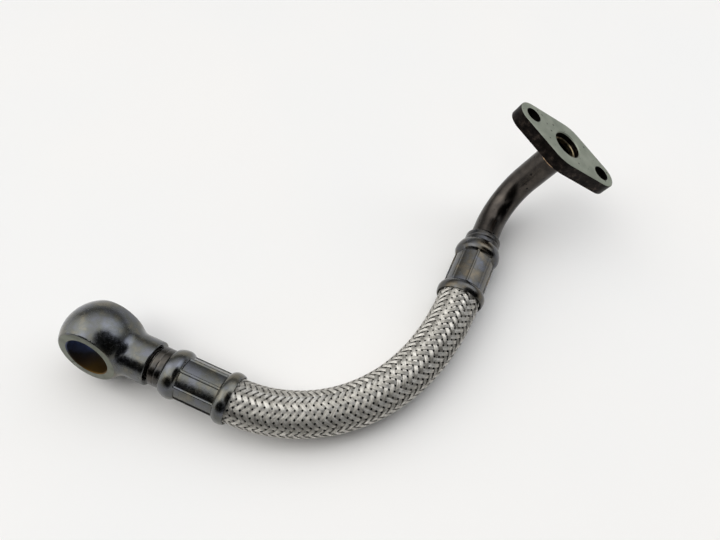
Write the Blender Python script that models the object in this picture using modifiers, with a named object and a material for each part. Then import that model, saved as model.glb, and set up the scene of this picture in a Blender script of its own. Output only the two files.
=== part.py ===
"""Turbo oil feed line: a banjo eye, a steel-braided hose between two crimped ferrules, and a bent
tube that ends in a two-bolt flange.

Units are metres and Z is up. The line lies on the floor as it does in the photograph, on the ball
of the eye and on the tube's ferrule. The eye's bore lies in a plane of constant X, and its front
face looks along -Y and a little upwards. The origin is the centre of the bottom of the box round it.

Each end of the hose has a frame of its own. Its origin is the centre of the ferrule's lip, and its
Z axis runs along the fitting, away from the hose, so that a height there is a distance from the lip.
"""

import math

import bmesh
import bpy
from mathutils import Matrix, Vector

MM = 0.001

# Running and brazing gaps between pieces that touch on the real line
GAP = 0.3 * MM

# Banjo eye: a ball with two machined faces, a bore for an M16 banjo bolt, and a neck
BALL_RADIUS = 14.3 * MM
EYE_WIDTH = 17.7 * MM
EYE_BORE_RADIUS = 8.05 * MM
EYE_TILT = math.radians(20.2)
NECK_RADIUS = 8.2 * MM
NECK_FILLET = 5.0 * MM
NECK_END = 21.2 * MM
NECK_EDGE_ROUND = 0.5 * MM
OIL_DRILLING_RADIUS = 2.8 * MM

# Crimped ferrule, the same at both ends
FERRULE_LENGTH = 30.4 * MM
LIP_RADIUS = 9.4 * MM
LIP_CREST = 2.1 * MM
LIP_EDGE_DROP = 0.45 * MM
CRIMP_START = 5.0 * MM
CRIMP_END = 19.4 * MM
CRIMP_RADIUS = 7.6 * MM
CRIMP_WALL = 1.0 * MM
JAW_COUNT = 8
RIDGE_WIDTH = 1.2 * MM
RIDGE_HEIGHT = 0.5 * MM
RIDGE_SINK = 0.4 * MM
BEAD_RADIUS = 9.0 * MM
BEAD_CREST = 21.8 * MM
BEAD_END = 25.2 * MM
COLLAR_RADIUS = 7.15 * MM
COLLAR_START = 26.0 * MM
COLLAR_WALL = 1.2 * MM
COLLAR_EDGE_ROUND = 0.5 * MM
GROOVE_WIDTH = 1.0 * MM
BANJO_CRIMP_CLOCK = math.radians(2.0)
TUBE_CRIMP_CLOCK = math.radians(0.0)

# Hose: rubber liner inside a braided steel cover
HOSE_RADIUS = 8.15 * MM
BRAID_WALL = 0.9 * MM
HOSE_BORE_RADIUS = 4.8 * MM
HOSE_END = 21.0 * MM
HOSE_REACH_X = 62.3 * MM
HOSE_REACH_Y = 66.3 * MM
BANJO_HANDLE = 23.3 * MM
TUBE_HANDLE = 52.9 * MM
FREE_HOSE_STATIONS = 14
BANJO_LIP_LIFT = 0.25 * MM

# Turned hose tail, the same at both ends
TAIL_TIP = 3.0 * MM
TAIL_BORE_RADIUS = 2.8 * MM
BARB_COUNT = 4
BARB_PITCH = 4.2 * MM
BARB_DEPTH = 0.35 * MM
SHOULDER_START = 22.0 * MM
SPIGOT_RADIUS = 4.45 * MM
SPIGOT_LENGTH = 6.0 * MM
SOCKET_SPARE = 0.5 * MM

# Bent steel tube
TUBE_RADIUS = 5.7 * MM
TUBE_HEADING = math.radians(86.4)
TUBE_STRAIGHT = 5.5 * MM
TUBE_BEND_RADIUS = 20.6 * MM
TUBE_BEND_ANGLE = math.radians(75.5)
TUBE_BEND_LIFT = math.radians(64.6)
TUBE_TO_FACE = 21.7 * MM
BEND_STATIONS = 8

# Two-bolt flange
FLANGE_THICKNESS = 5.2 * MM
BOLT_SPACING = 35.2 * MM
BOLT_HOLE_RADIUS = 3.2 * MM
FLANGE_END_RADIUS = 6.2 * MM
FLANGE_CENTRE_RADIUS = 12.0 * MM
FLANGE_ROLL = math.radians(56.4)
PORT_CHAMFER = 0.2 * MM
TUBE_RECESS = 1.9 * MM
BRAZE_WIDTH = 1.7 * MM
BRAZE_HEIGHT = 2.8 * MM

# Smoothness of the facets
TURNED_STEPS = 32
TAIL_STEPS = 20
EDGE_POINTS = 3
ARC_POINTS = 4
BALL_POINTS = 16
FLANGE_END_POINTS = 12
FLANGE_CENTRE_POINTS = 6
HOSE_BEVEL_RESOLUTION = 6
TUBE_BEVEL_RESOLUTION = 8
WELD_DISTANCE = 0.001 * MM
SMOOTH_ANGLE = math.radians(35.0)

# Worked out from the sizes above
TAIL_BODY_RADIUS = COLLAR_RADIUS - COLLAR_WALL - GAP
TAIL_BARB_RADIUS = HOSE_BORE_RADIUS - GAP
CRIMPED_HOSE_RADIUS = CRIMP_RADIUS - CRIMP_WALL - GAP
TUBE_BORE_RADIUS = SPIGOT_RADIUS + GAP
NECK_FACE = FERRULE_LENGTH + GROOVE_WIDTH
EYE_TO_LIP = NECK_END + NECK_FACE
UP = Vector((0.0, 0.0, 1.0))


def axis_frame(origin, direction, side):
    """A matrix at the origin with Z along the direction and X as near to the side as it can be."""
    z_axis = direction.normalized()
    x_axis = (side - side.dot(z_axis) * z_axis).normalized()
    y_axis = z_axis.cross(x_axis)
    rotation = Matrix((x_axis, y_axis, z_axis)).transposed()
    return Matrix.Translation(origin) @ rotation.to_4x4()


def heading(angle, slope=0.0):
    """The unit vector at this angle from +X in plan, rising by the slope."""
    level = math.cos(slope)
    return Vector((level * math.cos(angle), level * math.sin(angle), math.sin(slope)))


class Layout:
    """Where the pieces lie, worked out from the driving sizes."""

    def __init__(self):
        eye_centre = Vector((0.0, 0.0, BALL_RADIUS))
        bore_axis = Vector((0.0, -math.cos(EYE_TILT), math.sin(EYE_TILT)))
        drop = (BALL_RADIUS - LIP_RADIUS - BANJO_LIP_LIFT) / EYE_TO_LIP
        aside = math.asin(-math.tan(EYE_TILT) * drop / math.sqrt(1.0 - drop * drop))
        neck_axis = heading(aside, -math.asin(drop))
        banjo_lip = eye_centre + EYE_TO_LIP * neck_axis

        lie = -math.asin((LIP_RADIUS - BEAD_RADIUS) / (BEAD_CREST - LIP_CREST))
        tube_axis = heading(TUBE_HEADING, lie)
        tube_lip = Vector((banjo_lip.x + HOSE_REACH_X, banjo_lip.y + HOSE_REACH_Y, LIP_RADIUS))

        self.eye = axis_frame(eye_centre, neck_axis, bore_axis)
        self.banjo_end = axis_frame(banjo_lip, -neck_axis, UP)
        self.tube_end = axis_frame(tube_lip, tube_axis, UP)
        self.hose_route = self.route_of_hose()
        self.tube_route, self.flange = self.route_of_tube(tube_lip, tube_axis)

    def route_of_hose(self):
        """(point, station from the nearer lip) pairs: straight in each ferrule, curved between."""
        start, end = self.banjo_end, self.tube_end
        inside = (HOSE_END, CRIMP_START, LIP_CREST)
        handles = (
            start.translation,
            start @ Vector((0.0, 0.0, -BANJO_HANDLE)),
            end @ Vector((0.0, 0.0, -TUBE_HANDLE)),
            end.translation,
        )
        route = [(start @ Vector((0.0, 0.0, depth)), depth) for depth in inside]
        for step in range(FREE_HOSE_STATIONS + 1):
            route.append((bezier_point(handles, step / FREE_HOSE_STATIONS), 0.0))
        route += [(end @ Vector((0.0, 0.0, depth)), depth) for depth in reversed(inside)]
        return route

    @staticmethod
    def route_of_tube(lip, axis):
        """The tube's centre line and the flange's frame, whose Z is the face's outward normal."""
        right = axis.cross(UP).normalized()
        lift = right.cross(axis)
        side = math.cos(TUBE_BEND_LIFT) * right + math.sin(TUBE_BEND_LIFT) * lift
        begin = lip + NECK_FACE * axis
        bend = begin + TUBE_STRAIGHT * axis
        route = [begin]
        for step in range(BEND_STATIONS + 1):
            angle = TUBE_BEND_ANGLE * step / BEND_STATIONS
            along = TUBE_BEND_RADIUS * math.sin(angle) * axis
            across = TUBE_BEND_RADIUS * (1.0 - math.cos(angle)) * side
            route.append(bend + along + across)
        normal = math.cos(TUBE_BEND_ANGLE) * axis + math.sin(TUBE_BEND_ANGLE) * side
        face = route[-1] + TUBE_TO_FACE * normal
        route.append(face - TUBE_RECESS * normal)
        level = normal.cross(UP).normalized()
        rise = level.cross(normal)
        long_axis = math.cos(FLANGE_ROLL) * level - math.sin(FLANGE_ROLL) * rise
        return route, axis_frame(face, normal, long_axis)


def bezier_point(handles, t):
    """The point at t on the cubic Bezier curve with these four handles."""
    weights = ((1 - t) ** 3, 3 * t * (1 - t) ** 2, 3 * t * t * (1 - t), t**3)
    point = Vector((0.0, 0.0, 0.0))
    for weight, handle in zip(weights, handles):
        point += weight * handle
    return point


def arc(centre, radius, start, end, points=ARC_POINTS):
    """Points of a circular arc, angles in radians from the profile's radial direction."""
    found = []
    for step in range(points + 1):
        angle = start + (end - start) * step / points
        found.append((centre[0] + radius * math.cos(angle), centre[1] + radius * math.sin(angle)))
    return found


def crest_arc(crest, end):
    """An arc that leaves the crest along the axis and ends at the lower point."""
    drop, run = crest[0] - end[0], end[1] - crest[1]
    radius = (drop * drop + run * run) / (2.0 * drop)
    turn = math.asin(run / radius)
    return arc((crest[0] - radius, crest[1]), radius, 0.0, turn)


def new_object(name, mesh, collection, frame=None):
    obj = bpy.data.objects.new(name, mesh)
    collection.objects.link(obj)
    if frame is not None:
        obj.matrix_world = frame
    return obj


def turned(name, profile, collection, frame, steps=TURNED_STEPS):
    """A solid turned about the frame's Z axis from (radius, height) points, from the top down.

    A profile that starts and ends on the axis makes a solid, and any other is closed to a ring.
    """
    mesh = bpy.data.meshes.new(name)
    count = len(profile)
    edges = [(index, index + 1) for index in range(count - 1)]
    if profile[0][0] > 0.0:
        edges.append((count - 1, 0))
    mesh.from_pydata([(radius, 0.0, height) for radius, height in profile], edges, [])
    obj = new_object(name, mesh, collection, frame)
    screw = obj.modifiers.new("Turn", "SCREW")
    screw.axis = "Z"
    screw.angle = math.tau
    screw.steps = steps
    screw.render_steps = steps
    screw.use_merge_vertices = True
    screw.merge_threshold = WELD_DISTANCE
    return obj


def round_cutter(name, radius, bottom, top, collection, frame):
    profile = [(0.0, top), (radius, top), (radius, bottom), (0.0, bottom)]
    return turned(name, profile, collection, frame)


def box_mesh(name, size, centre, turn=None):
    """A mesh box of this size; turn is a matrix applied after it is moved to its centre."""
    mesh = bpy.data.meshes.new(name)
    shape = bmesh.new()
    bmesh.ops.create_cube(shape, size=1.0)
    bmesh.ops.scale(shape, vec=size, verts=shape.verts)
    bmesh.ops.translate(shape, vec=centre, verts=shape.verts)
    if turn is not None:
        bmesh.ops.transform(shape, matrix=turn, verts=shape.verts)
    shape.to_mesh(mesh)
    shape.free()
    return mesh


def join_meshes(name, meshes):
    """One mesh that holds all of these as separate bodies."""
    shape = bmesh.new()
    for mesh in meshes:
        shape.from_mesh(mesh)
        bpy.data.meshes.remove(mesh)
    joined = bpy.data.meshes.new(name)
    shape.to_mesh(joined)
    shape.free()
    return joined


def combine(obj, operation, other):
    step = obj.modifiers.new(operation.title() + " " + other.name, "BOOLEAN")
    step.operation = operation
    step.solver = "EXACT"
    step.object = other
    return obj


def swept(name, stations, resolution, collection, capped=True):
    """A mesh swept along (point, radius) stations with a round section."""
    curve = bpy.data.curves.new(name, "CURVE")
    curve.dimensions = "3D"
    curve.bevel_depth = 1.0
    curve.bevel_resolution = resolution
    curve.use_fill_caps = capped
    spline = curve.splines.new("POLY")
    spline.points.add(len(stations) - 1)
    for point, (place, radius) in zip(spline.points, stations):
        point.co = (*place, 1.0)
        point.radius = radius
    guide = new_object(name + "_curve", curve, collection)
    bpy.context.view_layer.update()
    graph = bpy.context.evaluated_depsgraph_get()
    mesh = bpy.data.meshes.new_from_object(guide.evaluated_get(graph))
    mesh.name = name
    shape = bmesh.new()
    shape.from_mesh(mesh)
    bmesh.ops.remove_doubles(shape, verts=shape.verts, dist=WELD_DISTANCE)
    bmesh.ops.recalc_face_normals(shape, faces=shape.faces)
    shape.to_mesh(mesh)
    shape.free()
    bpy.data.objects.remove(guide)
    bpy.data.curves.remove(curve)
    return new_object(name, mesh, collection)


class Workshop:
    """Makes each piece in the parts' collection and its cutters in another."""

    def __init__(self):
        self.layout = Layout()
        self.parts = self.new_collection("Turbo oil feed line", hidden=False)
        self.cutters = self.new_collection("Cutters", hidden=True)
        self.root = bpy.data.objects.new("oil_feed_line", None)
        self.parts.objects.link(self.root)

    @staticmethod
    def new_collection(name, hidden):
        collection = bpy.data.collections.new(name)
        collection.hide_render = hidden
        bpy.context.scene.collection.children.link(collection)
        return collection

    def as_cutter(self, obj):
        obj.hide_render = True
        obj.display_type = "WIRE"
        return obj

    def finish(self, obj, material):
        obj.data.materials.append(material)
        for polygon in obj.data.polygons:
            polygon.use_smooth = True
        if len(obj.data.polygons):
            obj.data.set_sharp_from_angle(angle=SMOOTH_ANGLE)
        obj.parent = self.root
        return obj

    def banjo_eye(self, material):
        """The forged eye: ball, fillet and neck turned in one, then faced, bored and drilled."""
        reach = BALL_RADIUS + NECK_FILLET
        fillet_radial = NECK_RADIUS + NECK_FILLET
        fillet_along = math.sqrt(reach * reach - fillet_radial * fillet_radial)
        meet = math.atan2(fillet_along, fillet_radial)
        edge = NECK_EDGE_ROUND
        profile = [(0.0, NECK_END)]
        profile += arc(
            (NECK_RADIUS - edge, NECK_END - edge), edge, math.pi / 2, 0.0, EDGE_POINTS
        )
        profile += arc((fillet_radial, fillet_along), NECK_FILLET, -math.pi, meet - math.pi)
        profile += arc((0.0, 0.0), BALL_RADIUS, meet, -math.pi / 2, BALL_POINTS)[1:-1]
        profile += [(0.0, -BALL_RADIUS)]
        frame = self.layout.eye
        eye = turned("banjo_eye", profile, self.parts, frame)

        spare = BALL_RADIUS - EYE_WIDTH / 2
        slabs = []
        for side in (-1, 1):
            centre = (side * (EYE_WIDTH / 2 + spare), 0.0, 0.0)
            slabs.append(box_mesh("slab", (2 * spare, 3 * BALL_RADIUS, 3 * BALL_RADIUS), centre))
        slab_pair = new_object("eye_face_cutter", join_meshes("slabs", slabs), self.cutters, frame)
        combine(eye, "DIFFERENCE", self.as_cutter(slab_pair))

        bore_frame = frame @ Matrix.Rotation(math.pi / 2, 4, "Y")
        bore = round_cutter(
            "eye_bore_cutter", EYE_BORE_RADIUS, -BALL_RADIUS, BALL_RADIUS, self.cutters, bore_frame
        )
        combine(eye, "DIFFERENCE", self.as_cutter(bore))

        socket_radius = SPIGOT_RADIUS + GAP
        socket_floor = NECK_END - SPIGOT_LENGTH - SOCKET_SPARE
        drilling = [
            (0.0, NECK_END + GROOVE_WIDTH),
            (socket_radius, NECK_END + GROOVE_WIDTH),
            (socket_radius, socket_floor),
            (OIL_DRILLING_RADIUS, socket_floor),
            (OIL_DRILLING_RADIUS, EYE_BORE_RADIUS / 2),
            (0.0, EYE_BORE_RADIUS / 2),
        ]
        drill = turned("oil_drilling_cutter", drilling, self.cutters, frame)
        combine(eye, "DIFFERENCE", self.as_cutter(drill))
        return self.finish(eye, material)

    def ferrule(self, name, frame, clock, material):
        """A crimped shell: bell lip, jaw marks with ridges between them, bead and collar."""
        collar_edge = FERRULE_LENGTH - COLLAR_EDGE_ROUND
        lip_edge = (LIP_RADIUS - LIP_EDGE_DROP, 0.0)
        crest = (LIP_RADIUS, LIP_CREST)
        bead = (BEAD_RADIUS, BEAD_CREST)
        waist = ((BEAD_RADIUS + COLLAR_RADIUS) / 2, BEAD_END)
        profile = [(0.0, FERRULE_LENGTH)]
        collar_arc = (COLLAR_RADIUS - COLLAR_EDGE_ROUND, collar_edge)
        profile += arc(collar_arc, COLLAR_EDGE_ROUND, math.pi / 2, 0.0, EDGE_POINTS)
        profile += [(COLLAR_RADIUS, COLLAR_START)]
        profile += crest_arc(bead, waist)[::-1]
        profile += self.lower_side(bead, (CRIMP_RADIUS, CRIMP_END))[1:]
        profile += crest_arc(crest, (CRIMP_RADIUS, CRIMP_START))[::-1]
        profile += self.lower_side(crest, lip_edge)[1:]
        profile += [(0.0, 0.0)]
        shell = turned(name, profile, self.parts, frame)

        turn = Matrix.Rotation(clock, 4, "Z")
        ridges = new_object(name + "_ridges", self.ridge_mesh(), self.cutters, frame @ turn)
        combine(shell, "UNION", self.as_cutter(ridges))

        mouth = HOSE_RADIUS + GAP
        crimp_bore = CRIMP_RADIUS - CRIMP_WALL
        collar_bore = COLLAR_RADIUS - COLLAR_WALL
        step = HOSE_END + GAP
        bore = [
            (0.0, FERRULE_LENGTH + GROOVE_WIDTH),
            (collar_bore, FERRULE_LENGTH + GROOVE_WIDTH),
            (collar_bore, step),
            (crimp_bore, step),
            (crimp_bore, CRIMP_START),
            (mouth, LIP_CREST),
            (mouth, -GROOVE_WIDTH),
            (0.0, -GROOVE_WIDTH),
        ]
        cutter = turned(name + "_bore_cutter", bore, self.cutters, frame)
        combine(shell, "DIFFERENCE", self.as_cutter(cutter))
        return self.finish(shell, material)

    @staticmethod
    def lower_side(crest, end):
        """crest_arc for an end that lies below the crest."""
        mirrored = crest_arc((crest[0], -crest[1]), (end[0], -end[1]))
        return [(radius, -height) for radius, height in mirrored]

    @staticmethod
    def ridge_mesh():
        """The bars of metal that stand between the crimping jaws."""
        inner = CRIMP_RADIUS - RIDGE_SINK
        outer = CRIMP_RADIUS + RIDGE_HEIGHT
        size = (outer - inner, RIDGE_WIDTH, BEAD_CREST - LIP_CREST)
        centre = ((outer + inner) / 2, 0.0, (BEAD_CREST + LIP_CREST) / 2)
        bars = []
        for jaw in range(JAW_COUNT):
            turn = Matrix.Rotation(math.tau * jaw / JAW_COUNT, 4, "Z")
            bars.append(box_mesh("bar", size, centre, turn))
        return join_meshes("ridges", bars)

    def hose_tail(self, name, frame, material):
        """A turned tail: barbs in the hose, a body in the ferrule's collar and a spigot."""
        end = NECK_FACE + SPIGOT_LENGTH
        profile = [
            (TAIL_BORE_RADIUS, end),
            (SPIGOT_RADIUS, end),
            (SPIGOT_RADIUS, NECK_FACE - GAP),
            (TAIL_BODY_RADIUS, NECK_FACE - GAP),
            (TAIL_BODY_RADIUS, SHOULDER_START),
            (TAIL_BARB_RADIUS - BARB_DEPTH, SHOULDER_START),
        ]
        for barb in reversed(range(BARB_COUNT)):
            foot = TAIL_TIP + barb * BARB_PITCH
            profile.append((TAIL_BARB_RADIUS, foot + BARB_PITCH / 2 + GAP))
            profile.append((TAIL_BARB_RADIUS, foot + BARB_PITCH / 2))
            profile.append((TAIL_BARB_RADIUS - BARB_DEPTH, foot))
        profile.append((TAIL_BORE_RADIUS, TAIL_TIP))
        return self.finish(turned(name, profile, self.parts, frame, TAIL_STEPS), material)

    def hose_layer(self, name, outer, inner, material):
        """A hollow layer of the hose; outer and inner give its radii from the depth in a ferrule."""
        route = self.layout.hose_route
        overrun = GROOVE_WIDTH
        shell = swept(
            name, [(p, outer(depth)) for p, depth in route], HOSE_BEVEL_RESOLUTION, self.parts
        )
        bore = [(p, inner(depth)) for p, depth in route]
        first, last = route[0][0], route[-1][0]
        before = first + overrun * (first - route[1][0]).normalized()
        after = last + overrun * (last - route[-2][0]).normalized()
        bore.insert(0, (before, bore[0][1]))
        bore.append((after, bore[-1][1]))
        cutter = swept(name + "_bore", bore, HOSE_BEVEL_RESOLUTION, self.cutters)
        combine(shell, "DIFFERENCE", self.as_cutter(cutter))
        return self.finish(shell, material)

    def steel_braid(self, material):
        return self.hose_layer(
            "steel_braid", braid_radius, lambda depth: braid_radius(depth) - BRAID_WALL, material
        )

    def hose_liner(self, material):
        return self.hose_layer(
            "hose_liner",
            lambda depth: braid_radius(depth) - BRAID_WALL - GAP,
            lambda depth: HOSE_BORE_RADIUS,
            material,
        )

    def feed_tube(self, material):
        """The bent tube, from the tail's shoulder to its recess in the flange."""
        stations = [(point, TUBE_RADIUS) for point in self.layout.tube_route]
        tube = swept("feed_tube", stations, TUBE_BEVEL_RESOLUTION, self.parts, capped=False)
        wall = tube.modifiers.new("Wall", "SOLIDIFY")
        wall.thickness = TUBE_RADIUS - TUBE_BORE_RADIUS
        wall.offset = -1.0
        wall.use_even_offset = True
        return self.finish(tube, material)

    def tube_flange(self, material):
        """The two-bolt plate with its bolt holes and the chamfered port."""
        frame = self.layout.flange
        plate = self.flange_plate(frame)
        port_radius = TUBE_RADIUS + GAP
        mouth = port_radius + PORT_CHAMFER
        port = [
            (0.0, PORT_CHAMFER),
            (mouth + PORT_CHAMFER, PORT_CHAMFER),
            (port_radius, -PORT_CHAMFER),
            (port_radius, -2 * FLANGE_THICKNESS),
            (0.0, -2 * FLANGE_THICKNESS),
        ]
        cutter = turned("port_cutter", port, self.cutters, frame)
        combine(plate, "DIFFERENCE", self.as_cutter(cutter))
        for name, side in (("a", -1), ("b", 1)):
            place = frame @ Matrix.Translation((side * BOLT_SPACING / 2, 0.0, 0.0))
            hole = round_cutter(
                f"bolt_hole_{name}_cutter",
                BOLT_HOLE_RADIUS,
                -2 * FLANGE_THICKNESS,
                FLANGE_THICKNESS,
                self.cutters,
                place,
            )
            combine(plate, "DIFFERENCE", self.as_cutter(hole))
        return self.finish(plate, material)

    def flange_plate(self, frame):
        """The plate's outline as a filled 2D curve, made solid and turned into a mesh."""
        curve = bpy.data.curves.new("tube_flange", "CURVE")
        curve.dimensions = "2D"
        curve.fill_mode = "BOTH"
        curve.extrude = FLANGE_THICKNESS / 2
        outline = flange_outline()
        spline = curve.splines.new("POLY")
        spline.points.add(len(outline) - 1)
        for point, (x, y) in zip(spline.points, outline):
            point.co = (x, y, 0.0, 1.0)
        spline.use_cyclic_u = True
        guide = new_object("flange_curve", curve, self.cutters)
        bpy.context.view_layer.update()
        graph = bpy.context.evaluated_depsgraph_get()
        mesh = bpy.data.meshes.new_from_object(guide.evaluated_get(graph))
        mesh.name = "tube_flange"
        shape = bmesh.new()
        shape.from_mesh(mesh)
        bmesh.ops.remove_doubles(shape, verts=shape.verts, dist=WELD_DISTANCE)
        bmesh.ops.translate(shape, vec=(0.0, 0.0, -FLANGE_THICKNESS / 2), verts=shape.verts)
        bmesh.ops.recalc_face_normals(shape, faces=shape.faces)
        shape.to_mesh(mesh)
        shape.free()
        bpy.data.objects.remove(guide)
        bpy.data.curves.remove(curve)
        return new_object("tube_flange", mesh, self.parts, frame)

    def flange_braze_ring(self, material):
        """The fillet of braze round the tube at the flange's back."""
        foot = -FLANGE_THICKNESS - GAP
        inner = TUBE_RADIUS + GAP
        profile = [(inner, foot), (inner + BRAZE_WIDTH, foot)]
        profile += [(inner + BRAZE_WIDTH / 3, foot - BRAZE_HEIGHT / 2)]
        profile += [(inner + GAP, foot - BRAZE_HEIGHT), (inner, foot - BRAZE_HEIGHT)]
        ring = turned("flange_braze_ring", profile, self.parts, self.layout.flange)
        return self.finish(ring, material)

    def rest_on_origin(self):
        """Moves the whole line so that the origin is the centre of the bottom of its box."""
        bpy.context.view_layer.update()
        graph = bpy.context.evaluated_depsgraph_get()
        corners = []
        for obj in self.parts.objects:
            if obj.type != "MESH":
                continue
            evaluated = obj.evaluated_get(graph)
            corners += [evaluated.matrix_world @ v.co for v in evaluated.to_mesh().vertices]
            evaluated.to_mesh_clear()
        low = Vector([min(corner[axis] for corner in corners) for axis in range(3)])
        high = Vector([max(corner[axis] for corner in corners) for axis in range(3)])
        shift = Vector((-(low.x + high.x) / 2, -(low.y + high.y) / 2, -low.z))
        self.root.location = shift
        for cutter in self.cutters.objects:
            cutter.matrix_world = Matrix.Translation(shift) @ cutter.matrix_world
        bpy.context.view_layer.update()


def braid_radius(depth):
    """The hose's outer radius at this depth in a ferrule, where the crimp squeezes it."""
    return CRIMPED_HOSE_RADIUS if depth >= CRIMP_START else HOSE_RADIUS


def flange_outline():
    """The plate's outline: a large round centre and two small round ends, joined by tangents."""
    half = BOLT_SPACING / 2
    tangent = math.acos((FLANGE_CENTRE_RADIUS - FLANGE_END_RADIUS) / half)
    outline = []
    for side in (0.0, math.pi):
        centre = (half * math.cos(side), 0.0)
        outline += arc(
            centre, FLANGE_END_RADIUS, side - tangent, side + tangent, FLANGE_END_POINTS
        )
        outline += arc(
            (0.0, 0.0),
            FLANGE_CENTRE_RADIUS,
            side + tangent,
            side + math.pi - tangent,
            FLANGE_CENTRE_POINTS,
        )
    return outline


def make_material(name, colour, roughness, metallic):
    material = bpy.data.materials.new(name)
    material.use_nodes = True
    material.diffuse_color = (*colour, 1.0)
    shader = material.node_tree.nodes["Principled BSDF"]
    shader.inputs["Base Color"].default_value = (*colour, 1.0)
    shader.inputs["Roughness"].default_value = roughness
    shader.inputs["Metallic"].default_value = metallic
    return material


def clear_scene():
    for obj in list(bpy.data.objects):
        bpy.data.objects.remove(obj, do_unlink=True)


def main():
    clear_scene()
    blackened = make_material("blackened_steel", (0.07, 0.065, 0.06), 0.38, 1.0)
    tube_finish = make_material("dark_oxide_steel", (0.06, 0.055, 0.05), 0.45, 1.0)
    ground = make_material("ground_steel", (0.36, 0.38, 0.33), 0.55, 1.0)
    braid = make_material("stainless_braid", (0.50, 0.47, 0.41), 0.35, 1.0)
    bare = make_material("turned_steel", (0.30, 0.28, 0.25), 0.40, 1.0)
    braze = make_material("braze", (0.42, 0.36, 0.26), 0.40, 1.0)
    rubber = make_material("oil_hose_rubber", (0.02, 0.02, 0.02), 0.75, 0.0)

    shop = Workshop()
    layout = shop.layout
    shop.banjo_eye(blackened)
    shop.hose_tail("banjo_hose_tail", layout.banjo_end, bare)
    shop.ferrule("banjo_ferrule", layout.banjo_end, BANJO_CRIMP_CLOCK, blackened)
    shop.hose_liner(rubber)
    shop.steel_braid(braid)
    shop.ferrule("tube_ferrule", layout.tube_end, TUBE_CRIMP_CLOCK, blackened)
    shop.hose_tail("tube_hose_tail", layout.tube_end, bare)
    shop.feed_tube(tube_finish)
    shop.flange_braze_ring(braze)
    shop.tube_flange(ground)
    shop.rest_on_origin()


main()
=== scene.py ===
"""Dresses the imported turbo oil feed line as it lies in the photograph.

A forged banjo eye, two crimped ferrules, a steel-braided hose, a bent steel tube and a two-bolt
flange lie on a pale table in a room with a bright ceiling and two soft windows. Lengths are in
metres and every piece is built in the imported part's own frame, with +Z up. The sizes repeat those
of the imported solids, and finer forms, such as the braid's strands, the flats of the crimps and the
broken edges, are added within them.
"""

import sys
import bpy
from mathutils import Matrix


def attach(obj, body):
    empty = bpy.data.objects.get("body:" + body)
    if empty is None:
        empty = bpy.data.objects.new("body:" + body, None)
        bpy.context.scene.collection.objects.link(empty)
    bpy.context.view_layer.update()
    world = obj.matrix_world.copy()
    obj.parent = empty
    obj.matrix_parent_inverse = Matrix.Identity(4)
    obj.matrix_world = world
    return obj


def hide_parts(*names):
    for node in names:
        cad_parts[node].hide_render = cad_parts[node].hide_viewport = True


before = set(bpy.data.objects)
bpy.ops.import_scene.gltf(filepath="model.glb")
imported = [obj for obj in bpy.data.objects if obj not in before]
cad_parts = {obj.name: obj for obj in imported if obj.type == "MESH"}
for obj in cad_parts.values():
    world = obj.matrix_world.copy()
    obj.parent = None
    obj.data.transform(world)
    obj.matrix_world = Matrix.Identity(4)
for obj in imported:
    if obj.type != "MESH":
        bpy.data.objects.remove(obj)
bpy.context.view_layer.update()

import logging
import math
from dataclasses import dataclass, field, replace
from enum import Enum
from typing import Any, Callable, NamedTuple, Sequence

import bmesh
import bpy
import numpy as np
from mathutils import Matrix, Vector

MM = 0.001
UP = Vector((0.0, 0.0, 1.0))
GAP = 0.3 * MM
# A turned outline stays this far off its axis, where a small flat cap closes it
AXIS_GAP = 0.1 * MM
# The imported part's origin is the middle of its footprint; the sizes start from below the eye
FOOTPRINT_SHIFT = Vector((-70.708, -62.961, 0.042)) * MM
# The photograph's width in pixels, which the camera's focal length goes with
PHOTO_WIDTH = 720
# The mesh attribute that gives each wire of the braid its own shade
WIRE_SHADE = "wire_shade"

log = logging.getLogger("oil feed line")

Profile = list[tuple[float, float]]
Triple = tuple[float, float, float]
Stops = tuple[tuple[float, str], ...]
Inputs = dict[Any, Any]
Piece = bpy.types.Object
Tree = bpy.types.NodeTree
Socket = bpy.types.NodeSocket


class HoseEnd(Enum):
    """The two ends of the hose."""

    BANJO = "banjo"
    TUBE = "tube"


class Hand(Enum):
    """The two ways in which the braid's strands wind."""

    RIGHT = 1
    LEFT = -1


def linear(colour: str) -> tuple[float, float, float, float]:
    """Turns an sRGB hex colour to the linear values that a shader takes.

    Args:
        colour: six hex digits after a hash sign.

    Returns:
        Linear red, green, blue and an alpha of 1.
    """
    found = []
    for start in (1, 3, 5):
        value = int(colour[start : start + 2], 16) / 255.0
        found.append(value / 12.92 if value <= 0.04045 else ((value + 0.055) / 1.055) ** 2.4)
    return (*found, 1.0)


def per_mm(size: float) -> float:
    """The texture scale whose pattern repeats about every so many millimetres."""
    return 1.0 / (size * MM)


def add_node(
    tree: Tree,
    kind: str,
    inputs: Inputs | None = None,
    stops: Sequence[tuple[float, str]] = (),
    **settings: Any,
) -> bpy.types.Node:
    """Adds a node to a tree with its settings, values and links.

    Args:
        tree: the node tree that it goes in.
        kind: the node's type name.
        inputs: for each input, by name or number, its value or the socket that feeds it.
        stops: for a colour ramp, its (position, hex colour) pairs.
        **settings: the node's own properties.

    Returns:
        The new node.
    """
    node = tree.nodes.new(kind)
    for name, value in settings.items():
        setattr(node, name, value)
    for _ in stops[2:]:
        node.color_ramp.elements.new(1.0)
    for number, (position, colour) in enumerate(stops):
        element = node.color_ramp.elements[number]
        element.position, element.color = position, linear(colour)
    for name, value in (inputs or {}).items():
        if isinstance(value, Socket):
            tree.links.new(value, node.inputs[name])
        else:
            node.inputs[name].default_value = value
    return node


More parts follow.
